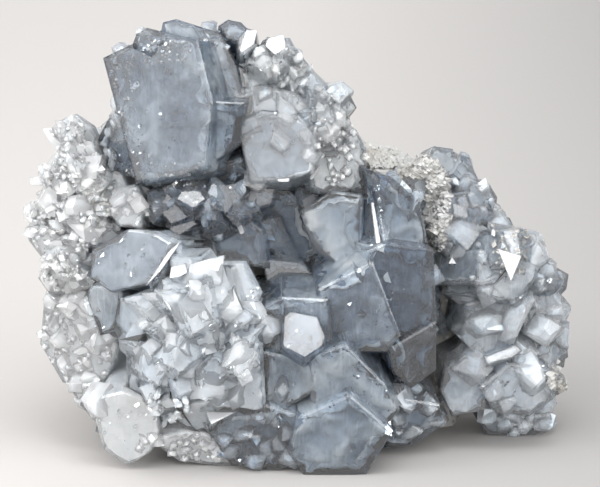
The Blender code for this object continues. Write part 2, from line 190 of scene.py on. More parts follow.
def heart_group():
    """The cloudy inside of a crystal: angular patches, flakes, soft clouds and wisps."""
    group = Group(
        "crystal heart",
        [
            ("Deep Colour", COLOUR, (0.5, 0.6, 0.7, 1)),
            ("Cloud Colour", COLOUR, (0.9, 0.93, 0.95, 1)),
        ],
    )
    place = group.place()
    bend = group.node("TexNoise", i0=place, Scale=260, Detail=3).outputs["Color"]
    bend = group.node("VectorMath", {"operation": "SCALE"}, i0=bend, i3=0.003).outputs[0]
    bent = group.node("VectorMath", {"operation": "ADD"}, i0=place, i1=bend).outputs[0]
    patch = group.node("TexVoronoi", i0=bent, Scale=190).outputs["Color"]
    patch = group.node("SeparateColor", i0=patch).outputs[0]
    flake = group.node("TexVoronoi", {"distance": "MANHATTAN"}, i0=bent, Scale=560).outputs["Color"]
    flake = group.node("SeparateColor", i0=flake).outputs[1]
    cloud = group.clouds(place, Scale=85, Detail=6, Roughness=0.62)
    cloud = group.ranged(cloud, 0.42, 0.62, 0, 0.8)
    wisp = group.node("Mapping", i0=place, i2=(0.5, 0.3, 0.4), i3=(1.0, 0.3, 0.16)).outputs[0]
    wisp = group.clouds(wisp, Scale=900, Detail=4, Roughness=0.7, Distortion=1.2)
    wisp = group.ranged(wisp, 0.5, 0.7, -0.1, 0.5)
    total = group.sum_of(flake, 0.2, group.sum_of(patch, 0.3, cloud))
    total = group.node("Math", {"operation": "ADD", "use_clamp": True}, i0=total, i1=wisp).outputs[0]
    colour = group.mixed(total, group.given["Deep Colour"], group.given["Cloud Colour"])
    return group.finished(colour, group.ranged(flake, 0, 1, 0.15, 0.8), flake)


def rock_group():
    """Granular host rock: pale grains, tan stain, dark specks and a few bright grains."""
    group = Group(
        "host rock",
        [
            ("Pale", COLOUR, (0.44, 0.44, 0.43, 1)),
            ("Stain", COLOUR, (0.33, 0.315, 0.285, 1)),
            ("Dark", COLOUR, (0.14, 0.14, 0.13, 1)),
            ("Bright", COLOUR, (0.72, 0.72, 0.7, 1)),
        ],
    )
    given = group.given
    place = group.place()
    grain = group.node("TexVoronoi", i0=place, Scale=1500, Randomness=1)
    tone = group.node("SeparateColor", i0=grain.outputs["Color"]).outputs[0]
    patch = group.clouds(place, Scale=110, Detail=5, Roughness=0.6)
    colour = group.mixed(group.ranged(patch, 0.42, 0.68, 0, 1), given["Pale"], given["Stain"])
    colour = group.mixed(group.ranged(tone, 0.88, 0.96, 0, 0.6), colour, given["Dark"])
    colour = group.mixed(group.ranged(tone, 0, 0.12, 0.55, 0), colour, given["Bright"])
    sheen = group.ranged(tone, 0, 0.15, 0.35, 0.85)
    return group.finished(colour, sheen, group.sum_of(grain.outputs["Distance"], 0.6, patch))


GROWTH = growth_group()
HEART = heart_group()
ROCK = rock_group()


def material(name, group, inputs, strength, shader_values):
    """A Principled material whose colour, roughness and bump come from a group with these inputs."""
    finish = bpy.data.materials.new(name)
    finish.use_nodes = True
    tree = finish.node_tree
    shader = tree.nodes["Principled BSDF"]
    pattern = tree.nodes.new("ShaderNodeGroup")
    pattern.node_tree = group
    for key, value in inputs.items():
        pattern.inputs[key].default_value = value
    bump = tree.nodes.new("ShaderNodeBump")
    bump.inputs["Strength"].default_value = strength
    bump.inputs["Distance"].default_value = 0.2 * MM
    tree.links.new(pattern.outputs["Colour"], shader.inputs["Base Color"])
    tree.links.new(pattern.outputs["Roughness"], shader.inputs["Roughness"])
    tree.links.new(pattern.outputs["Height"], bump.inputs["Height"])
    tree.links.new(bump.outputs["Normal"], shader.inputs["Normal"])
    for key, value in shader_values.items():
        shader.inputs[key].default_value = value
    return finish


CELESTITE_IOR = 1.62
SUGAR_IOR = 1.5  # lower, so that crowded small crystals stay light


def crystal(name, clear, cloud, cloudiness, depth_colour, depth, through, frosting=0.16, bump=0.15):
    """The clear outer part of a crystal: celestite with blue that deepens inside."""
    finish = material(
        name,
        GROWTH,
        {
            "Clear Colour": (*clear, 1),
            "Cloud Colour": (*cloud, 1),
            "Cloudiness": cloudiness,
            "Frosting": frosting,
        },
        bump,
        {
            "Transmission Weight": through,
            "IOR": CELESTITE_IOR,
            "Metallic": 0.0,
            "Specular IOR Level": 0.5,
        },
    )
    inside = finish.node_tree.nodes.new("ShaderNodeVolumeAbsorption")
    inside.inputs["Color"].default_value = (*depth_colour, 1)
    inside.inputs["Density"].default_value = depth
    output = finish.node_tree.nodes["Material Output"]
    finish.node_tree.links.new(inside.outputs[0], output.inputs["Volume"])
    return finish


def milk(name, deep, cloud):
    """The cloudy heart inside a crystal."""
    return material(
        name,
        HEART,
        {"Deep Colour": (*deep, 1), "Cloud Colour": (*cloud, 1)},
        0.5,
        {"Metallic": 0.0, "Specular IOR Level": 0.6},
    )


def sugar(name, clear, cloud, through, shade=0.88):
    """Small crystals: clear enough to see into, and cloudy enough to stay light where they crowd."""
    return material(
        name,
        GROWTH,
        {
            "Clear Colour": (*clear, 1),
            "Cloud Colour": (*cloud, 1),
            "Cloud Size": 160,
            "Cloudiness": 0.8,
            "Polish": 0.04,
            "Frosting": 0.2,
            "Facet Shade": shade,
        },
        0.08,
        {
            "Transmission Weight": through,
            "IOR": SUGAR_IOR,
            "Metallic": 0.0,
            "Specular IOR Level": 0.5,
        },
    )


# Small crystals: their colour where clear and where cloudy, how much light goes through, and the darkest
# shade of a facet
SUGARS = {
    "summit_crystals": dict(clear=(0.88, 0.92, 0.96), cloud=(0.97, 0.98, 0.99), through=0.75),
    "shoulder_crystals": dict(clear=(0.94, 0.97, 0.99), cloud=(1.0, 1.0, 1.0), through=0.8, shade=0.96),
    # the rock's small crystals are darker than the rest: partly their own colour, partly painted shade in
    # the cleft at the right
    "matrix": dict(clear=(0.75, 0.8, 0.85), cloud=(0.9, 0.93, 0.95), through=0.8),
    "deep_crystals": dict(clear=(0.66, 0.75, 0.84), cloud=(0.87, 0.92, 0.96), through=0.82),
    "centre_crystals": dict(clear=(0.82, 0.88, 0.94), cloud=(0.94, 0.97, 1.0), through=0.85, shade=0.93),
    "rosette_crystals": dict(clear=(0.93, 0.97, 1.0), cloud=(0.98, 0.99, 1.0), through=0.72, shade=0.99),
    "left_crystals": dict(clear=(0.98, 0.99, 1.0), cloud=(1.0, 1.0, 0.99), through=0.72, shade=0.95),
    "right_crystals": dict(clear=(0.88, 0.93, 0.97), cloud=(0.97, 0.98, 1.0), through=0.79, shade=0.9),
}
# Large crystals: the surface that all share
SHELL = dict(clear=(0.95, 0.97, 0.99), cloud=(1, 1, 1), cloudiness=0.7)
# Each group's inner colour, its strength per metre, and how much light goes through its large crystals
FINISHES = {
    "summit_crystals": dict(depth_colour=(0.5, 0.6, 0.7), depth=330, through=0.965),
    "shoulder_crystals": dict(depth_colour=(0.58, 0.69, 0.79), depth=110, through=0.92),
    "deep_crystals": dict(depth_colour=(0.45, 0.56, 0.68), depth=200, through=0.93),
    "centre_crystals": dict(depth_colour=(0.47, 0.59, 0.71), depth=260, through=0.95),
    "rosette_crystals": dict(depth_colour=(0.55, 0.69, 0.85), depth=55, through=0.96),
    "left_crystals": dict(depth_colour=(0.7, 0.75, 0.78), depth=30, through=0.84),
    "right_crystals": dict(depth_colour=(0.57, 0.67, 0.78), depth=100, through=0.92),
}
# The cloudy hearts: colour where they are clearer and where they are cloudy
TONES = {
    "white": ((0.86, 0.88, 0.88), (1.0, 1.0, 0.98)),
    "pale": ((0.68, 0.75, 0.81), (0.95, 0.97, 0.98)),
    "ice": ((0.8, 0.87, 0.94), (0.97, 1.0, 1.0)),
    "misty": ((0.33, 0.395, 0.45), (0.71, 0.755, 0.785)),
    "grey": ((0.45, 0.49, 0.51), (0.76, 0.78, 0.78)),
    "blue": ((0.12, 0.18, 0.26), (0.39, 0.445, 0.495)),
    "slate": ((0.09, 0.14, 0.21), (0.33, 0.39, 0.45)),
    "deep": ((0.05, 0.1, 0.17), (0.21, 0.285, 0.37)),
    # painted shade: near-black hearts for the shaded hollow at the right
    "dark": ((0.03, 0.035, 0.045), (0.12, 0.13, 0.15)),
}
TONE_NAMES = list(TONES)
# Each group's tones, and how deep its hearts lie at least and at most, in millimetres
HEARTS = {
    # the rock's small crystals: grey, misty and deep blue hearts, partly their own colour and partly painted
    # shade that darkens the cleft at the right
    "matrix": (("grey", "misty", "deep"), 0, 0),
    "summit_crystals": (("blue", "blue", "misty"), 0.4, 3.5),
    "shoulder_crystals": (("misty", "pale", "misty"), 0.25, 2),
    "deep_crystals": (("deep", "deep", "blue"), 0.5, 4),
    "centre_crystals": (("blue", "deep", "misty"), 0.5, 4),
    "rosette_crystals": (("ice", "pale", "ice"), 0.25, 1.8),
    "left_crystals": (("white", "white", "pale"), 0.2, 1.2),
    "right_crystals": (("misty", "misty", "blue"), 0.3, 2.4),
}
# Places of the picture where the crystals have another tone: middle, radii, tone
PATCHES = (
    ((360, 302), (22, 30), "blue"),
    ((400, 285), (42, 45), "deep"),
    # painted shade: these two darken the hollow at the right with near-black hearts
    ((432, 352), (26, 34), "dark"),
    ((412, 352), (20, 34), "dark"),
    ((338, 228), (34, 40), "white"),
    ((400, 215), (26, 34), "misty"),
    ((345, 395), (42, 42), "misty"),
    ((330, 455), (50, 22), "misty"),
    ((420, 412), (40, 26), "pale"),
    ((280, 385), (28, 30), "misty"),
    ((255, 440), (50, 26), "blue"),
    ((132, 262), (46, 30), "slate"),
    ((110, 320), (20, 30), "misty"),
    ((180, 150), (20, 24), "misty"),
    ((270, 145), (40, 38), "slate"),
    ((75, 345), (42, 60), "grey"),
    ((110, 205), (24, 30), "grey"),
    ((340, 150), (24, 50), "white"),
    ((270, 60), (36, 26), "white"),
    ((520, 385), (34, 22), "pale"),
    ((460, 220), (30, 44), "blue"),
    ((128, 428), (34, 42), "white"),
    ((488, 275), (22, 32), "misty"),
)


def tone_at(place, rng, usual):
    """The tone of a crystal at this place of the specimen."""
    column, row = seen(place)
    for middle, radii, tone in PATCHES:
        if math.hypot((column - middle[0]) / radii[0], (row - middle[1]) / radii[1]) < 1:
            return tone
    return rng.choice(usual)


# Shapes


def random_vector(rng, reach):
    """A vector whose three numbers are each within reach of 0."""
    return Vector([rng.uniform(-reach, reach) for _ in range(3)])


JOINED = 0.002 * MM  # corners this near are one
FLAT = math.radians(0.6)  # facets that meet at less than this are one


def welded(node):
    """The node's own shape as a bmesh, with its corners joined."""
    bm = bmesh.new()
    bm.from_mesh(NODES[node].data)
    bmesh.ops.remove_doubles(bm, verts=bm.verts[:], dist=JOINED)
    return bm


# Small corners that poke through a large face: node, a place on the face, the middle and reach of the corner
# in the picture, and how far it stands out at most
CORNERS = (("summit_crystals", (150, 110), (172, 104), 14, 2 * MM),)


def copied(node):
    """The node's own shape as a bmesh of flat facets."""
    bm = welded(node)
    for name, on_face, (column, row), reach, most in CORNERS:
        if name == node:
            place, normal, _ = first_hit(EYE, ray(*on_face))
            for vert in bm.verts:
                across, down = seen(vert.co)
                height = (vert.co - place).dot(normal)
                if math.hypot(across - column, down - row) < reach and 0 < height < most:
                    vert.co -= normal * height
    bmesh.ops.dissolve_limit(bm, angle_limit=FLAT, verts=bm.verts[:], edges=bm.edges[:], delimit={"NORMAL"})
    return bm


def piece(bm, name, finishes, replaced=None, smooth=False):
    """The bmesh as an object with these materials that rides on the specimen."""
    mesh = bpy.data.meshes.new(name)
    bm.to_mesh(mesh)
    bm.free()
    thing = bpy.data.objects.new(name, mesh)
    bpy.context.scene.collection.objects.link(thing)
    for finish in finishes:
        mesh.materials.append(finish)
    for face in mesh.polygons:
        face.use_smooth = smooth
    rng = random.Random(name)
    shades = mesh.attributes.new(FACET, "FLOAT", "FACE")
    shades.data.foreach_set("value", [rng.random() for _ in mesh.polygons])
    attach(thing, "root")
    if replaced:
        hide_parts(replaced)
    return thing


EDGE = 0.16 * MM  # worn edges of the larger crystals
SHARP = 0.25  # radians between the facets of an edge that wears


def wears(edge):
    """Whether this edge is long and sharp, and has no short edges at its ends."""
    if not edge.is_manifold or edge.calc_length() <= 6 * EDGE or abs(edge.calc_face_angle_signed()) <= SHARP:
        return False
    return all(near.calc_length() > 3 * EDGE for vert in edge.verts for near in vert.link_edges)


def softened(bm):
    """Bevels the long, clean edges between facets."""
    edges = [edge for edge in bm.edges if wears(edge)]
    bmesh.ops.bevel(
        bm, geom=edges, offset=EDGE, offset_type="OFFSET", segments=1, profile=0.5, affect="EDGES",
        clamp_overlap=True, material=-1,
    )


GROWTH_OVER = 0.13 * MM  # closes most of the crevice that the solids keep


def grown(bm):
    """Moves the crystals' faces out a little, so that they meet their neighbours."""
    bm.normal_update()
    moved = [vert.co + vert.normal * GROWTH_OVER * min(vert.calc_shell_factor(), 2) for vert in bm.verts]
    for vert, place in zip(bm.verts, moved):
        vert.co = place


# The directions in which the sides of a small crystal face, in degrees
OUTLINES = ((38, 142, 218, 322), (38, 90, 142, 218, 270, 322), (52, 90, 128, 232, 270, 308))


def crystal_form(rng, lengths, tilts, tops):
    """A small crystal, 1 wide, with rhombic sides and a faced top, as a mesh that points up."""
    length = rng.uniform(*lengths)
    bm = bmesh.new()
    bmesh.ops.create_cube(bm, size=4)
    planes = [(Vector((0, 0, -length / 2)), Vector((0, 0, -1)))]
    for degrees in rng.choice(OUTLINES):
        angle = math.radians(degrees + rng.uniform(-5, 5))
        side = Vector((math.cos(angle), math.sin(angle), rng.uniform(0, 0.12))).normalized()
        planes.append((side * 0.5 * rng.uniform(0.7, 1.1), side))
    turn = rng.uniform(0, 360)
    count = rng.choice(tops)
    for number in range(count):
        angle = math.radians(turn + 360 * number / count + rng.uniform(-20, 20))
        tilt = math.radians(rng.uniform(*tilts))
        face = Vector((math.cos(angle) * math.sin(tilt), math.sin(angle) * math.sin(tilt), math.cos(tilt)))
        planes.append((face * length / 2 * rng.uniform(0.75, 0.95), face))
    for point, normal in planes:
        cut = bmesh.ops.bisect_plane(
            bm, geom=bm.verts[:] + bm.edges[:] + bm.faces[:], dist=0.0001, plane_co=point, plane_no=normal,
            clear_outer=True,
        )
        edges = [part for part in cut["geom_cut"] if isinstance(part, bmesh.types.BMEdge)]
        if len(edges) > 2:
            bmesh.ops.edgeloop_fill(bm, edges=edges)
    bmesh.ops.recalc_face_normals(bm, faces=bm.faces[:])
    mesh = bpy.data.meshes.new("small crystal")
    bm.to_mesh(mesh)
    bm.free()
    return mesh


FORM_DRAWS = random.Random(5)
POINTS = [crystal_form(FORM_DRAWS, (1.4, 2.1), (32, 60), (2, 3, 4)) for _ in range(16)]
BLOCKS = [crystal_form(FORM_DRAWS, (0.8, 1.2), (8, 46), (3, 4, 5)) for _ in range(24)]


HEART_MESH = 1.6 * MM  # the longest edges of the cloudy bodies
HEART_LIMIT = 0.4  # how deep these lie at most, of the crystal's thickness


def heart(bm, tree, least, most):
    """Turns a copy of the crystals' faces into the cloudy body inside them."""
    for _ in range(5):
        long = [edge for edge in bm.edges if edge.calc_length() > HEART_MESH]
        bmesh.ops.subdivide_edges(bm, edges=long, cuts=1)
        bmesh.ops.triangulate(bm, faces=[face for face in bm.faces if len(face.verts) > 3])
    bm.normal_update()
    places = []
    for vert in bm.verts:
        _, _, _, thickness = tree.ray_cast(vert.co - vert.normal * 0.05 * MM, -vert.normal)
        cloud = noise.noise(vert.co / (7 * MM)) + 0.6 * noise.noise(vert.co / (2.5 * MM))
        depth = least + (most - least) * min(max(0.5 + cloud, 0), 1)
        places.append(vert.co - vert.normal * min(depth * MM, (thickness or 0) * HEART_LIMIT))
    for vert, place in zip(bm.verts, places):
        vert.co = place


def surfaces():
    """For every node, a search tree of its surface."""
    trees = {}
    for name, thing in NODES.items():
        bm = bmesh.new()
        bm.from_mesh(thing.data)
        trees[name] = BVHTree.FromBMesh(bm)
        bm.free()
    return trees


SURFACES = surfaces()


def first_hit(start, direction):
    """Where the ray first meets the specimen: place, normal and node, or nothing."""
    best = None
    for name, tree in SURFACES.items():
        place, normal, _, distance = tree.ray_cast(start, direction)
        if place is not None and (best is None or distance < best[3]):
            best = (place, normal, name, distance)
    return best[:3] if best else None


GLINT = Vector((0.038, -0.730, 0.682))  # the normal of the facets that mirror the light above
MIRRORS_LIGHT = 0.995  # how near to it a facet's normal is, as a cosine, to mirror that light too
HEART_SIZES = (0.55, 0.8)  # the cloudy part of a small crystal, of its size
CROWDING = 0.62  # how far apart small crystals keep, in mean widths


def added(bm, form, matrix, index=0):
    """Adds a copy of the small crystal, placed by the matrix and with this material slot."""
    start = len(bm.verts)
    bm.from_mesh(form)
    bm.verts.ensure_lookup_table()
    for vert in bm.verts[start:]:
        vert.co = matrix @ vert.co
        for face in vert.link_faces:
            face.material_index = index


class Crust:
    """The small crystals on one node, which keep their distance from each other."""

    def __init__(self, node):
        self.bm = bmesh.new()
        self.hearts = bmesh.new()
        self.centre = sum((Vector(corner) for corner in NODES[node].bound_box), Vector()) / 8
        self.centre.y = max(self.centre.y, 10 * MM)
        self.taken = []
        self.tones = HEARTS[node][0]

    def plant(self, place, normal, width, rng, lean, forms, sink):
        """Adds a small crystal, standing on the surface at place, where there is room and no mirror."""
        if normal.dot(GLINT) > MIRRORS_LIGHT:
            return
        if any((place - other).length < 0.5 * (width + reach) * CROWDING for other, reach in self.taken):
            return
        self.taken.append((place, width))
        axis = (normal * 0.35 + (place - self.centre).normalized()).normalized()
        axis = (axis + random_vector(rng, lean)).normalized()
        form = rng.choice(forms)
        upright = axis.to_track_quat("Z", "Y").to_matrix().to_4x4()
        turn = upright @ Matrix.Rotation(rng.uniform(0, 6.28), 4, "Z")
        stretch = Matrix.Diagonal((width, width * rng.uniform(0.6, 1), width * rng.uniform(0.9, 1.3), 1))
        matrix = Matrix.Translation(place + axis * width * sink) @ turn @ stretch
        tone = TONE_NAMES.index(tone_at(place, rng, self.tones))
        askew = Matrix.Rotation(rng.uniform(0.3, 1.2), 4, random_vector(rng, 1))
        smaller = askew @ Matrix.Scale(rng.uniform(*HEART_SIZES), 4)
        added(self.bm, form, matrix)
        added(self.hearts, form, matrix @ smaller, tone)


def crack(bm, place, normal, size, rng):
    """Adds a thin crack, a crooked sheet with three to five corners, which shines from inside."""
    facing = (normal + random_vector(rng, 0.9)).normalized()
    across = facing.orthogonal().normalized()
    beside = facing.cross(across)
    count = rng.choice((3, 4, 5))
    turn = rng.uniform(0, math.tau)
    corners = []
    for number in range(count):
        angle = turn + math.tau * number / count
        reach = size * rng.uniform(0.25, 0.6)
        corner = place + across * math.cos(angle) * reach + beside * math.sin(angle) * reach * 0.7
        corners.append(bm.verts.new(corner + facing * size * rng.uniform(-0.08, 0.08)))
    bm.faces.new(corners)


def scattered(rng, middle, radii):
    """What the camera sees at a random place of this ellipse in the picture: see first_hit."""
    angle = rng.uniform(0, math.tau)
    share = math.sqrt(rng.random())
    column = middle[0] + radii[0] * share * math.cos(angle)
    row = middle[1] + radii[1] * share * math.sin(angle)
    return first_hit(EYE, ray(column, row))


# Swarms of small cracks: seed, tries, middle and radii in the picture, sizes and depths in millimetres
SWARMS = (
    (1, 90, (160, 48), (22, 10), (0.5, 1.2), (0.2, 1.2)),
    (2, 60, (128, 150), (16, 30), (0.4, 1.2), (0.2, 1.0)),
    (3, 80, (200, 188), (44, 14), (0.5, 1.4), (0.2, 1.2)),
    (4, 24, (320, 110), (34, 44), (0.5, 1.4), (0.2, 1.2)),
    (5, 90, (75, 215), (34, 80), (0.5, 1.3), (0.2, 1.0)),
    (6, 110, (170, 410), (22, 16), (0.4, 1.2), (0.2, 1.0)),
    (7, 120, (200, 340), (64, 70), (0.5, 1.6), (0.3, 1.6)),
    (8, 60, (256, 300), (10, 16), (0.5, 1.2), (0.2, 0.8)),
    (9, 120, (510, 320), (50, 90), (0.5, 1.5), (0.2, 1.4)),
    (10, 60, (280, 60), (30, 24), (0.5, 1.5), (0.2, 1.2)),
    (11, 60, (300, 370), (60, 50), (0.5, 1.5), (0.3, 1.5)),
    (12, 40, (275, 130), (36, 36), (0.5, 1.5), (0.3, 1.5)),
    (13, 30, (390, 395), (26, 20), (0.4, 1.2), (0.2, 1.0)),
    (14, 50, (200, 455), (60, 12), (0.5, 1.4), (0.2, 1.0)),
    (15, 60, (375, 215), (10, 34), (0.4, 1.2), (0.2, 1.0)),
    (16, 9, (380, 290), (44, 50), (2.5, 6), (0.8, 3)),
    (17, 6, (160, 110), (40, 50), (1.5, 3.5), (1.5, 3)),
    (18, 8, (340, 430), (60, 40), (2.5, 6), (0.8, 3)),
    (19, 40, (130, 262), (42, 26), (0.6, 2.5), (0.4, 2)),
    (20, 40, (150, 100), (44, 60), (0.5, 2), (0.3, 2)),
    (21, 30, (75, 345), (34, 50), (0.5, 2), (0.3, 1.0)),
    (22, 30, (125, 430), (26, 30), (0.5, 2), (0.3, 1.0)),
    (23, 40, (460, 230), (30, 60), (0.5, 2), (0.3, 2)),
    (24, 40, (360, 300), (60, 50), (0.4, 1.5), (0.3, 2)),
)


def build_cracks():
    """Healed cracks inside the crystals, which shine like silver."""
    bm = bmesh.new()
    for seed, tries, middle, radii, sizes, depths in SWARMS:
        rng = random.Random(seed)
        for _ in range(tries):
            hit = scattered(rng, middle, radii)
            if hit and hit[2] != "matrix":
                place = hit[0] - hit[1] * rng.uniform(*depths) * MM
                crack(bm, place, hit[1], rng.uniform(*sizes) * MM, rng)
    silver = bpy.data.materials.new("healed crack")
    silver.use_nodes = True
    shader = silver.node_tree.nodes["Principled BSDF"]
    shader.inputs["Base Color"].default_value = (0.9, 0.93, 0.95, 1)
    shader.inputs["Metallic"].default_value = 1
    shader.inputs["Roughness"].default_value = 0.12
    piece(bm, "healed_cracks", [silver])


# Crowds of small crystals: seed, tries, middle and radii in the picture, widths in millimetres, lean, forms
# and how far their middle stands out, in widths
CROWDS = {
    "left_crystals": [
        (1, 30, (66, 205), (34, 80), (4.0, 8.0), 0.3, BLOCKS, -0.35),
        (6, 420, (66, 205), (38, 86), (0.9, 2.4), 0.6, POINTS, -0.1),
        (2, 60, (72, 345), (38, 55), (3.5, 8.0), 0.35, BLOCKS, -0.28),
        (8, 160, (72, 345), (38, 58), (1.0, 2.5), 0.5, BLOCKS, -0.2),
        (9, 40, (126, 205), (24, 28), (2.5, 6.0), 0.4, BLOCKS, -0.3),
        (4, 60, (195, 450), (60, 14), (2.0, 4.5), 0.4, BLOCKS, -0.25),
    ],
    "rosette_crystals": [
        (11, 70, (200, 338), (68, 74), (6.0, 11.0), 0.25, BLOCKS, -0.4),
        (14, 20, (200, 338), (68, 74), (1.8, 4), 0.3, BLOCKS, -0.3),
        (13, 50, (168, 405), (20, 14), (1.0, 2.6), 0.4, POINTS, 0.0),
    ],
    "right_crystals": [
        (21, 50, (505, 300), (66, 110), (6, 12), 0.2, BLOCKS, -0.25),
        (24, 24, (505, 300), (66, 110), (1.6, 4), 0.3, BLOCKS, -0.1),
        (23, 12, (470, 190), (30, 30), (3, 6), 0.4, BLOCKS, -0.3),
        (22, 26, (515, 420), (42, 16), (4, 8), 0.3, BLOCKS, -0.25),
    ],
    "shoulder_crystals": [
        (31, 30, (325, 125), (30, 55), (4, 8), 0.3, BLOCKS, -0.35),
        (34, 150, (335, 135), (20, 50), (0.9, 2.4), 0.5, BLOCKS, -0.2),
        (32, 30, (275, 65), (36, 30), (3, 6), 0.3, BLOCKS, -0.25),
        (33, 14, (275, 140), (40, 50), (4, 8), 0.4, BLOCKS, -0.36),
    ],
    "deep_crystals": [
        (41, 20, (215, 215), (62, 50), (3, 7), 0.4, BLOCKS, -0.3),
        (42, 30, (210, 190), (60, 20), (1.0, 2.5), 0.5, POINTS, 0.0),
    ],
    "centre_crystals": [
        (53, 12, (262, 400), (30, 26), (3, 7), 0.3, BLOCKS, -0.35),
        (54, 12, (420, 415), (40, 26), (3, 7), 0.4, BLOCKS, -0.3),
        (56, 30, (255, 442), (44, 24), (3, 7), 0.4, BLOCKS, -0.33),
    ],
    "matrix": [
        # partly painted shade: small crystals with dark hearts that darken the cleft and hollow at the right
        (71, 90, (442, 335), (22, 80), (2.5, 6), 0.4, BLOCKS, -0.1),
        (72, 40, (400, 165), (60, 30), (0.7, 2.0), 0.5, BLOCKS, -0.3),
    ],
    "summit_crystals": [
        (61, 14, (225, 40), (26, 26), (0.8, 2), 0.3, BLOCKS, -0.1),
        (62, 20, (104, 140), (12, 44), (1.6, 4), 0.4, BLOCKS, -0.1),
        (63, 90, (122, 90), (14, 60), (0.3, 0.8), 0.5, BLOCKS, -0.2),
        (64, 90, (165, 174), (44, 12), (0.3, 0.8), 0.5, BLOCKS, -0.2),
        (65, 70, (165, 52), (26, 14), (0.3, 0.9), 0.5, BLOCKS, -0.2),
    ],
}
# Facets that catch the light: how far the middle stands out in millimetres, and the corners in the picture
MIRRORS = (
    (1.9, ((145, 287), (160, 272), (178, 247), (181, 240), (168, 252))),
    (1.9, ((169, 279), (180, 277), (189, 272), (187, 263), (171, 267))),
    (1.9, ((247, 204), (254, 206), (257, 191), (250, 190))),
    (1.9, ((235, 222), (240, 235), (245, 233), (241, 221))),
    (1.9, ((205, 411), (211, 425), (222, 417), (236, 412))),
    (3.2, ((497, 248), (511, 282), (522, 256))),
    (1.9, ((448, 264), (457, 264), (452, 256))),
    (1.9, ((371, 203), (376, 244), (381, 243), (374, 202))),
    (1.9, ((239, 50), (242, 53), (254, 44), (258, 30), (246, 30))),
    (1.9, ((265, 46), (275, 55), (286, 48), (284, 34), (268, 38))),
    (1.9, ((309, 178), (312, 180), (319, 172), (320, 164))),
    (1.9, ((302, 200), (308, 216), (318, 204), (314, 194))),
    (1.9, ((277, 179), (279, 182), (289, 182), (290, 178))),
    (1.9, ((255, 299), (259, 305), (262, 300))),
    (1.9, ((492, 229), (491, 235), (495, 237), (496, 231))),
)
MIRROR_SPACE = 2.6 * MM  # how much room the small crystals leave round the middle of such a facet


def behind(corners):
    """Where the specimen's surface lies behind the middle of these corners in the picture."""
    middle = sum((Vector(corner) for corner in corners), Vector((0, 0))) / len(corners)
    return first_hit(EYE, ray(*middle))[0]


MIRROR_PLACES = [behind(corners) for _, corners in MIRRORS]


def hides_mirror(place, width):
    """Whether a small crystal of this width would stand before a bright facet."""
    return any((place - other).length < MIRROR_SPACE + width / 2 for other in MIRROR_PLACES)


AROUND_TRIES = 260  # places tried on the sides and the top, which the camera doesn't see
AROUND_SEED = 99


def crowd(crust, node, seed, tries, middle, radii, widths, lean, forms, sink):
    """Small crystals on this node, within an ellipse of the picture."""
    rng = random.Random(seed)
    for _ in range(tries):
        hit = scattered(rng, middle, radii)
        width = rng.uniform(*widths) * rng.uniform(0.6, 1) * MM
        if hit and hit[2] == node and not hides_mirror(hit[0], width):
            crust.plant(hit[0], hit[1], width, rng, lean, forms, sink)


def in_view(place):
    """Whether the camera sees this place of the surface."""
    way = (place - EYE).normalized()
    hit = first_hit(EYE, way)
    return hit is not None and (hit[0] - place).length < 1.5 * MM


def crowd_around(crusts):
    """Small crystals on the sides and top of every group."""
    rng = random.Random(AROUND_SEED)
    for _ in range(AROUND_TRIES):
        azimuth = math.radians(rng.choice((-1, 1)) * rng.uniform(35, 150))
        rise = math.radians(rng.uniform(-10, 80))
        level = math.cos(rise)
        out = Vector((math.sin(azimuth) * level, -math.cos(azimuth) * level, math.sin(rise)))
        aim = CORE + random_vector(rng, 1) * 30 * MM
        hit = first_hit(aim + out * 0.3, -out)
        if hit and hit[2] in CRYSTAL_NODES and hit[0].z > 4 * MM and not in_view(hit[0]):
            crusts[hit[2]].plant(hit[0], hit[1], rng.uniform(2, 6) * MM, rng, 0.4, BLOCKS, 0.0)


def keep_inside(bm):
    """Moves the few points that reach past the specimen's box back to it."""
    low, high = CAD_BOX
    for vert in bm.verts:
        vert.co = Vector([min(max(vert.co[i], low[i]), high[i]) for i in range(3)])


TONE_SEED = 7


def build_crystals():
    """Every group of crystals: its clear shell, its cloudy heart and its crust of small ones."""
    milks = [milk(name + " milk", *colours) for name, colours in TONES.items()]
    rng = random.Random(TONE_SEED)
    crusts = {name: Crust(name) for name in CROWDS}
    for name, crowds in CROWDS.items():
        for values in crowds:
            crowd(crusts[name], name, *values)
    crowd_around(crusts)
    for name in CRYSTAL_NODES:
        finish = crystal(name + " glass", **SHELL, **FINISHES[name])
        faces = copied(name)
        grown(faces)
        softened(faces)
        keep_inside(faces)
        piece(faces, name + "_faces", [finish], replaced=name)
        usual, least, most = HEARTS[name]
        inner = copied(name)
        for face in inner.faces:
            face.material_index = TONE_NAMES.index(tone_at(face.calc_center_median(), rng, usual))
        heart(inner, SURFACES[name], least, most)
        inner = piece(inner, name + "_heart", milks, smooth=True)
    for name in CROWDS:
        keep_inside(crusts[name].bm)
        crust = piece(crusts[name].bm, name + "_crust", [sugar(name + " sugar", **SUGARS[name])])
        keep_inside(crusts[name].hearts)
        hearts = piece(crusts[name].hearts, name + "_crust_hearts", milks)


# Grains of bare rock: seed, tries, middle and radii in the picture, widths in millimetres
BARE_ROCK = (
    (81, 260, (385, 157), (22, 9), (0.6, 1.8)),
    (82, 260, (416, 166), (20, 12), (0.6, 1.8)),
    (83, 420, (438, 208), (12, 44), (0.6, 1.8)),
    (84, 110, (512, 235), (20, 44), (0.4, 1.2)),
    (85, 80, (560, 378), (12, 16), (0.6, 1.8)),
    (86, 110, (100, 205), (16, 34), (0.4, 1.2)),
)


# Relief of the broken rock, as sizes and depths in millimetres: its folds and its crumbs
ROCK_FOLDS = ((9, 3), (3.5, 1.6))
ROCK_CRUMB = (1.4, 0.3)


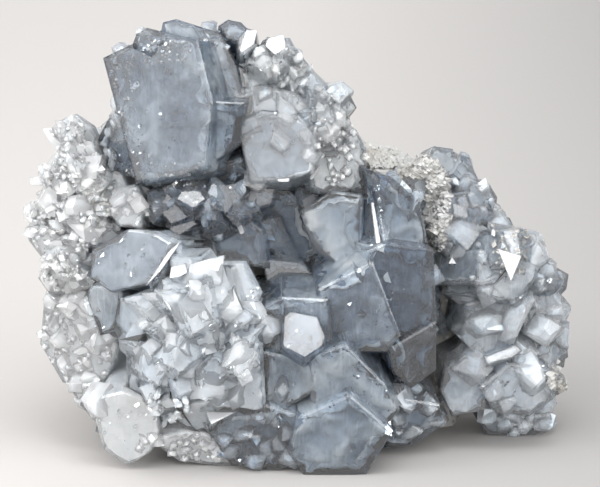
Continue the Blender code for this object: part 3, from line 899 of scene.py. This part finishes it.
def build_rock():
    """The host rock with its rough surface, and its loose grains where it is bare."""
    bm = welded("matrix")
    bmesh.ops.subdivide_edges(bm, edges=bm.edges[:], cuts=3, use_grid_fill=True)
    bmesh.ops.triangulate(bm, faces=bm.faces[:])
    bm.normal_update()
    for vert in bm.verts:
        if vert.co.z > 0.05 * MM:
            fold = sum(abs(noise.noise(vert.co / (size * MM))) * depth for size, depth in ROCK_FOLDS)
            crumb = noise.noise(vert.co / (ROCK_CRUMB[0] * MM)) * ROCK_CRUMB[1]
            vert.co -= vert.normal * (fold + crumb) * MM
            vert.co.z = max(vert.co.z, 0)
    keep_inside(bm)
    finish = material("host rock", ROCK, {}, 0.6, {"Specular IOR Level": 0.4})
    piece(bm, "matrix_rock", [finish], replaced="matrix")
    crumbs = bmesh.new()
    for seed, tries, middle, radii, widths in BARE_ROCK:
        rng = random.Random(seed)
        for _ in range(tries):
            hit = scattered(rng, middle, radii)
            if hit:
                width = rng.uniform(*widths) * MM
                turn = random_vector(rng, 1).to_track_quat("Z", "Y").to_matrix().to_4x4()
                sides = (width, width * rng.uniform(0.6, 1), width * rng.uniform(0.6, 1))
                place = Matrix.Translation(hit[0] - hit[1] * width * 0.2)
                added(crumbs, rng.choice(BLOCKS), place @ turn @ Matrix.Diagonal((*sides, 1)))
    keep_inside(crumbs)
    piece(crumbs, "rock_crumbs", [finish])


def build_mirrors():
    """The facets that mirror the light above, each the front of a small wedge."""
    bm = bmesh.new()
    for (height, corners), place in zip(MIRRORS, MIRROR_PLACES):
        level = place - FORWARD * height * MM
        facet = []
        for corner in corners:
            way = ray(*corner)
            facet.append(EYE + way * (level - EYE).dot(GLINT) / way.dot(GLINT))
        base = [corner.lerp(level, 0.3) + FORWARD * 3 * MM for corner in facet]
        bmesh.ops.convex_hull(bm, input=[bm.verts.new(corner) for corner in facet + base])
    bmesh.ops.dissolve_limit(bm, angle_limit=FLAT, verts=bm.verts[:], edges=bm.edges[:])
    softened(bm)
    keep_inside(bm)
    finish = crystal(
        "bright facet", clear=(0.97, 0.98, 1), cloud=(1, 1, 1), cloudiness=0.6,
        depth_colour=(0.7, 0.78, 0.86), depth=40, through=0.7, frosting=0.08, bump=0.02,
    )
    piece(bm, "bright_facets", [finish])


# Surroundings


# The paper's colour at the left and at the right: painted shade, which makes the paper darker towards the
# right
PAPER_LIT_LEFT, PAPER_SHADED_RIGHT = (0.46, 0.443, 0.428, 1), (0.3, 0.292, 0.285, 1)
PAPER_SHADE_ACROSS = (1, -0.1, 0)  # the direction in which painted shade darkens the paper
PAPER_SHADE_SPAN = (-0.06, 0.1)  # metres, from where to where it does
PAPER_REACH = 1.5  # metres, half the floor's width, and the height of the wall
BEND_STEP = 0.1  # metres, one of nine strips of the bend between floor and wall


def extruded(bm, edges, shift):
    """Adds a strip of faces from these edges, moved by shift, and gives its far edges."""
    added_parts = bmesh.ops.extrude_edge_only(bm, edges=edges)["geom"]
    verts = [part for part in added_parts if isinstance(part, bmesh.types.BMVert)]
    bmesh.ops.translate(bm, verts=verts, vec=shift)
    return [part for part in added_parts if isinstance(part, bmesh.types.BMEdge)]


def build_stage():
    """A sheet of pale paper: floor, bend and wall, with painted shade that darkens it towards the right."""
    bm = bmesh.new()
    bmesh.ops.create_grid(bm, x_segments=1, y_segments=1, size=PAPER_REACH)
    far = [edge for edge in bm.edges if all(vert.co.y > 1 for vert in edge.verts)]
    for degrees in range(5, 90, 10):
        turn = math.radians(degrees)
        far = extruded(bm, far, Vector((0, math.cos(turn), math.sin(turn))) * BEND_STEP)
    extruded(bm, far, Vector((0, 0, PAPER_REACH)))
    bmesh.ops.recalc_face_normals(bm, faces=bm.faces[:])
    mesh = bpy.data.meshes.new("floor")
    bm.to_mesh(mesh)
    bm.free()
    for face in mesh.polygons:
        face.use_smooth = True
    floor = bpy.data.objects.new("floor", mesh)
    bpy.context.scene.collection.objects.link(floor)
    paper = bpy.data.materials.new("pale paper")
    paper.use_nodes = True
    shader = paper.node_tree.nodes["Principled BSDF"]
    nodes = Nodes(paper.node_tree)
    # Painted shade: the paper's colour darkens from left to right
    across = nodes.node("VectorMath", {"operation": "DOT_PRODUCT"}, i0=nodes.place(), i1=PAPER_SHADE_ACROSS)
    shade = nodes.ranged(across.outputs["Value"], *PAPER_SHADE_SPAN, 0, 1)
    paper.node_tree.links.new(nodes.mixed(shade, PAPER_LIT_LEFT, PAPER_SHADED_RIGHT), shader.inputs["Base Color"])
    shader.inputs["Roughness"].default_value = 0.9
    shader.inputs["Specular IOR Level"].default_value = 0.1
    mesh.materials.append(paper)


LIGHT_TARGET = Vector((0, 0, 0.045))
# Rectangular lights: name, place, sides and power
SOFTBOXES = (
    ("overhead softbox", (0.05, -0.2, 0.62), (0.3, 0.25), 1.4),
    ("left window", (-0.8, -0.35, 0.5), (0.5, 0.6), 4),
    ("right fill", (0.9, -0.5, 0.25), (0.5, 0.5), 3),
)


def softbox(name, place, size, power):
    """A rectangular light at place, turned to the specimen."""
    light = bpy.data.lights.new(name, "AREA")
    light.shape = "RECTANGLE"
    light.size, light.size_y = size
    light.energy = power
    holder = bpy.data.objects.new(name, light)
    bpy.context.scene.collection.objects.link(holder)
    holder.location = place
    holder.rotation_euler = (LIGHT_TARGET - Vector(place)).to_track_quat("-Z", "Y").to_euler()


BRIGHTEST = (-0.25, -0.95, 0.18)  # the direction of the brightest part of the room
DIM_SKY, BRIGHT_SKY = 0.45, 3.1
SKY_SPAN = (-0.4, 1)  # where the room is dim and where bright, as the cosine of the angle to that direction


def build_light():
    """The room, brightest in front at the left, and three softboxes."""
    world = bpy.data.worlds.new("room")
    bpy.context.scene.world = world
    world.use_nodes = True
    sky = world.node_tree.nodes["Background"]
    sky.inputs["Color"].default_value = (0.98, 0.985, 1, 1)
    nodes = Nodes(world.node_tree)
    way = nodes.node("TexCoord").outputs["Generated"]
    towards = nodes.node("VectorMath", {"operation": "DOT_PRODUCT"}, i0=way, i1=BRIGHTEST).outputs["Value"]
    glow = nodes.node(
        "MapRange", {"interpolation_type": "SMOOTHSTEP"},
        i0=towards, i1=SKY_SPAN[0], i2=SKY_SPAN[1], i3=DIM_SKY, i4=BRIGHT_SKY,
    )
    world.node_tree.links.new(glow.outputs[0], sky.inputs["Strength"])
    for values in SOFTBOXES:
        softbox(*values)


def build_camera():
    """The camera, level across, which frames the specimen as the photo does."""
    camera = bpy.data.objects.new("camera", bpy.data.cameras.new("camera"))
    bpy.context.scene.collection.objects.link(camera)
    camera.location = EYE
    camera.rotation_mode = "QUATERNION"
    camera.rotation_quaternion = FORWARD.to_track_quat("-Z", "Y")
    camera.data.sensor_width = SENSOR
    camera.data.lens = SENSOR * EYE_DISTANCE / (COLUMNS * PIXEL)
    camera.data.clip_start = 0.01
    bpy.context.scene.camera = camera


def render_look():
    """Plain colours, and enough bounces for light to come back out of crystals within crystals."""
    scene = bpy.context.scene
    scene.view_settings.view_transform = "Standard"
    scene.view_settings.look = "None"
    scene.cycles.use_denoising = True
    scene.cycles.max_bounces = 20
    scene.cycles.diffuse_bounces = 10
    scene.cycles.glossy_bounces = 10
    scene.cycles.transmission_bounces = 16
    scene.cycles.caustics_reflective = False
    scene.cycles.caustics_refractive = True
    scene.cycles.blur_glossy = 0.5


build_rock()
build_crystals()
build_cracks()
build_mirrors()
build_stage()
build_light()
build_camera()
render_look()
